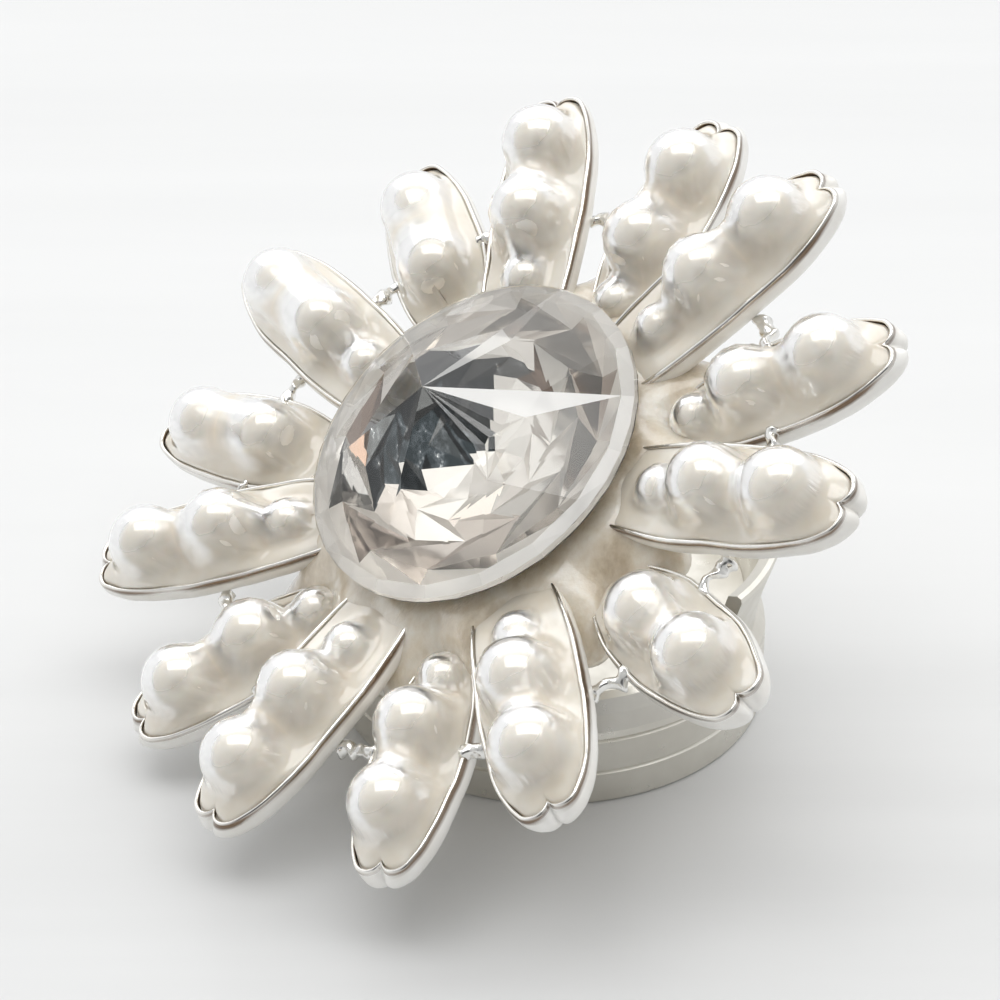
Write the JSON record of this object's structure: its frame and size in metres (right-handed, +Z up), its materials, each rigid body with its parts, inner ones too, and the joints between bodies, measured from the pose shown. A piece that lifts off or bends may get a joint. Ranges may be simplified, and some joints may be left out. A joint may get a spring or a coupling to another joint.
{
  "type": "flower hair clip",
  "caption": "Pearl-filled metal flower with a pointed crystal, on a small round claw clip whose sprung jaw opens with a thumb wing.",
  "frame": {"origin": "centre of the clip's round foot, on the surface it stands on", "axes": "+Z up, away from that surface; +Y along the hinge pin; +X towards the thumb wing. The flower leans to -X and a little to -Y."},
  "size_m": [0.0419, 0.0443, 0.0307],
  "materials": {
    "cup_silver": "bright silver plate, hand-formed",
    "solder": "bright solder",
    "clear_resin": "clear glossy resin over silver",
    "pearl": "pearlescent coating",
    "crystal": "cut and polished",
    "foil": "mirror foil",
    "glue": "cured glue",
    "clip_metal": "satin silver plate",
    "pin_steel": "polished steel",
    "spring_steel": "spring wire"
  },
  "bodies": {
    "flower_body": {"petal_cup_01": "cup_silver", "petal_cup_02": "cup_silver", "petal_cup_03": "cup_silver", "petal_cup_04": "cup_silver", "petal_cup_05": "cup_silver", "petal_cup_06": "cup_silver", "petal_cup_07": "cup_silver", "petal_cup_08": "cup_silver", "petal_cup_09": "cup_silver", "petal_cup_10": "cup_silver", "petal_cup_11": "cup_silver", "petal_cup_12": "cup_silver", "petal_cup_13": "cup_silver", "petal_cup_14": "cup_silver", "resin_01": "clear_resin", "resin_02": "clear_resin", "resin_03": "clear_resin", "resin_04": "clear_resin", "resin_05": "clear_resin", "resin_06": "clear_resin", "resin_07": "clear_resin", "resin_08": "clear_resin", "resin_09": "clear_resin", "resin_10": "clear_resin", "resin_11": "clear_resin", "resin_12": "clear_resin", "resin_13": "clear_resin", "resin_14": "clear_resin", "pearls_01": "pearl", "pearls_02": "pearl", "pearls_03": "pearl", "pearls_04": "pearl", "pearls_05": "pearl", "pearls_06": "pearl", "pearls_07": "pearl", "pearls_08": "pearl", "pearls_09": "pearl", "pearls_10": "pearl", "pearls_11": "pearl", "pearls_12": "pearl", "pearls_13": "pearl", "pearls_14": "pearl", "solder_links": "solder", "upper_hub": "cup_silver", "lower_hub": "cup_silver", "hub_spacer": "cup_silver", "flower_rivet": "pin_steel", "stone": "crystal", "stone_foil": "foil", "stone_glue": "glue", "flower_mount": "clip_metal", "fixed_jaw": "clip_metal", "hinge_pin": "pin_steel", "pin_cap": "pin_steel", "spring_coil": "spring_steel"},
    "thumb_body": {"thumb_jaw": "clip_metal", "spring_leg": "spring_steel"}
  },
  "joints": [
    {"name": "jaw_hinge", "type": "hinge", "parent": "flower_body", "child": "thumb_body", "pos_m": [0, 0, 0.00775], "axis": [0, -1, 0], "range_deg": [0, 30], "stiffness_Nm_per_rad": 0.004, "springref_deg": -85.94}
  ]
}
